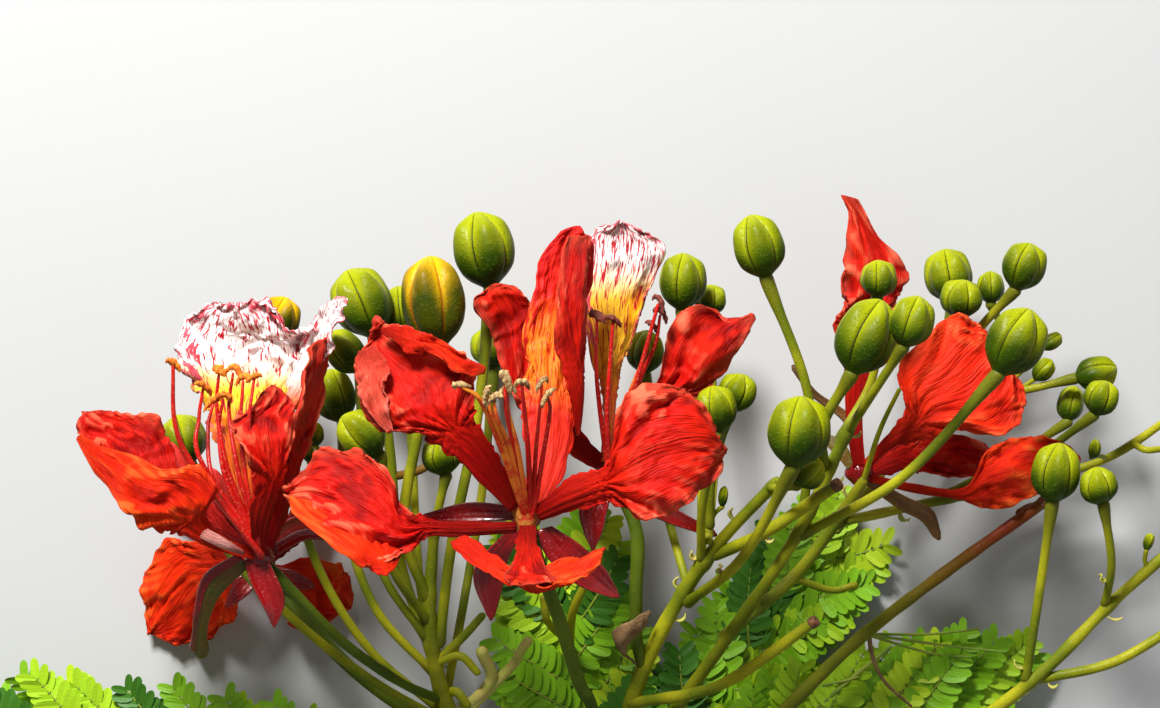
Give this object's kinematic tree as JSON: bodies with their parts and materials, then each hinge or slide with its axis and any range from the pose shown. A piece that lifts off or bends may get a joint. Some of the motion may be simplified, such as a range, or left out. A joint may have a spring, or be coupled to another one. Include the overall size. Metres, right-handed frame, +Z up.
{
  "type": "cut flame tree branch with flowers and buds",
  "caption": "Cut flowering branch of a flame tree: bark-covered stem, green flower stalks with open red blooms and green buds, and feathery leaves, lying on its side.",
  "frame": {"origin": "middle of the branch's box, on the surface that it lies on", "axes": "+Z up from that surface, +Y from the cut end of the stem towards the flowers, +X to the right as the flowers are seen from above with the cut end near"},
  "size_m": [0.359, 0.2946, 0.1173],
  "materials": {
    "bark": "matte",
    "flower_stalk": "satin",
    "bud": "satin",
    "bloom": "satin",
    "leaf": "satin"
  },
  "bodies": {
    "root": {"bloom_centre": "bloom", "bloom_centre_back": "bloom", "bloom_left": "bloom", "bloom_left_back": "bloom", "bloom_right": "bloom", "bud_01": "bud", "bud_02": "bud", "bud_03": "bud", "bud_04": "bud", "bud_05": "bud", "bud_06": "bud", "bud_07": "bud", "bud_08": "bud", "bud_09": "bud", "bud_10": "bud", "bud_11": "bud", "bud_12": "bud", "bud_13": "bud", "bud_14": "bud", "bud_15": "bud", "bud_16": "bud", "bud_17": "bud", "bud_18": "bud", "bud_19": "bud", "bud_20": "bud", "bud_21": "bud", "bud_22": "bud", "bud_23": "bud", "bud_24": "bud", "bud_25": "bud", "bud_26": "bud", "bud_27": "bud", "bud_28": "bud", "bud_29": "bud", "bud_30": "bud", "bud_31": "bud", "bud_32": "bud", "bud_33": "bud", "bud_34": "bud", "bud_35": "bud", "leaf_back": "leaf", "leaf_left": "leaf", "leaf_low_left": "leaf", "leaf_low_right": "leaf", "leaf_middle": "leaf", "leaf_right": "leaf", "stalk_bare_cut": "flower_stalk", "stalk_bare_long": "flower_stalk", "stalk_bare_stub": "flower_stalk", "stalk_edge": "flower_stalk", "stalk_edge_low": "flower_stalk", "stalk_far_right": "flower_stalk", "stalk_left": "flower_stalk", "stalk_middle": "flower_stalk", "stalk_right": "flower_stalk", "stalk_right_back": "flower_stalk", "stalk_right_low": "flower_stalk", "woody_stem": "bark"}
  },
  "joints": []
}
